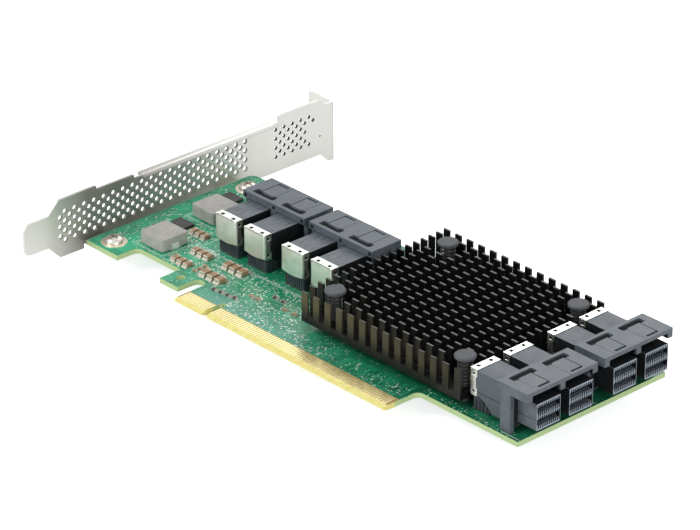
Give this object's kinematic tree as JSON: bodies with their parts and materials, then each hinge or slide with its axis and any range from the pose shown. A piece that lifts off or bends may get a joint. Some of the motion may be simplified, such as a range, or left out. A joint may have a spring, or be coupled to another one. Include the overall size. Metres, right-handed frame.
{
  "type": "sas adapter card",
  "caption": "Server adapter card with a slot bracket, a pin-fin heat sink, an edge connector and shrouded storage ports along its end and top edge.",
  "frame": {"origin": "centre of the edge connector's key notch, at the contact tips, on the board's component side", "axes": "+X from the bracket to the far end of the card, +Y from the contacts to the top edge, +Z away from the component side"},
  "size_m": [0.1843, 0.1203, 0.0216],
  "materials": {
    "board_laminate": "gloss green solder mask",
    "gold_contact": "gold plated",
    "bracket_steel": "satin plated",
    "screw_steel": "bright plated",
    "black_anodised": "satin black anodised",
    "lid_metal": "nickel plated",
    "pad_rubber": "matte",
    "spring_steel": "plated",
    "grey_plastic": "satin",
    "socket_plastic": "satin moulded",
    "wafer_plastic": "satin moulded",
    "organizer_plastic": "satin moulded",
    "tin_cap": "bright tin plated",
    "inductor_body": "matte moulded powder",
    "chip_plastic": "matte",
    "ceramic": "matte ceramic"
  },
  "bodies": {
    "root": {"bracket_screw_lower": "screw_steel", "bracket_screw_upper": "screw_steel", "ceramic_capacitors": "ceramic", "chip_lid": "lid_metal", "circuit_board": "board_laminate", "edge_contacts_back": "gold_contact", "edge_contacts_front": "gold_contact", "heat_sink": "black_anodised", "inductor_lower": "inductor_body", "inductor_upper": "inductor_body", "push_pin_1": "grey_plastic", "push_pin_2": "grey_plastic", "push_pin_3": "grey_plastic", "push_pin_4": "grey_plastic", "push_pin_spring_1": "spring_steel", "push_pin_spring_2": "spring_steel", "push_pin_spring_3": "spring_steel", "push_pin_spring_4": "spring_steel", "regulator_chips": "chip_plastic", "slot_bracket": "bracket_steel", "small_components": "chip_plastic", "socket_cap_end_far_1": "tin_cap", "socket_cap_end_far_2": "tin_cap", "socket_cap_end_near_1": "tin_cap", "socket_cap_end_near_2": "tin_cap", "socket_cap_top_left_1": "tin_cap", "socket_cap_top_left_2": "tin_cap", "socket_cap_top_right_1": "tin_cap", "socket_cap_top_right_2": "tin_cap", "socket_housing_end_far": "socket_plastic", "socket_housing_end_near": "socket_plastic", "socket_housing_top_left": "socket_plastic", "socket_housing_top_right": "socket_plastic", "switch_chip": "board_laminate", "tail_organizer_end_far_1": "organizer_plastic", "tail_organizer_end_far_2": "organizer_plastic", "tail_organizer_end_near_1": "organizer_plastic", "tail_organizer_end_near_2": "organizer_plastic", "tail_organizer_top_left_1": "organizer_plastic", "tail_organizer_top_left_2": "organizer_plastic", "tail_organizer_top_right_1": "organizer_plastic", "tail_organizer_top_right_2": "organizer_plastic", "thermal_pad": "pad_rubber", "wafer_stack_end_far_1": "wafer_plastic", "wafer_stack_end_far_2": "wafer_plastic", "wafer_stack_end_near_1": "wafer_plastic", "wafer_stack_end_near_2": "wafer_plastic", "wafer_stack_top_left_1": "wafer_plastic", "wafer_stack_top_left_2": "wafer_plastic", "wafer_stack_top_right_1": "wafer_plastic", "wafer_stack_top_right_2": "wafer_plastic"}
  },
  "joints": []
}
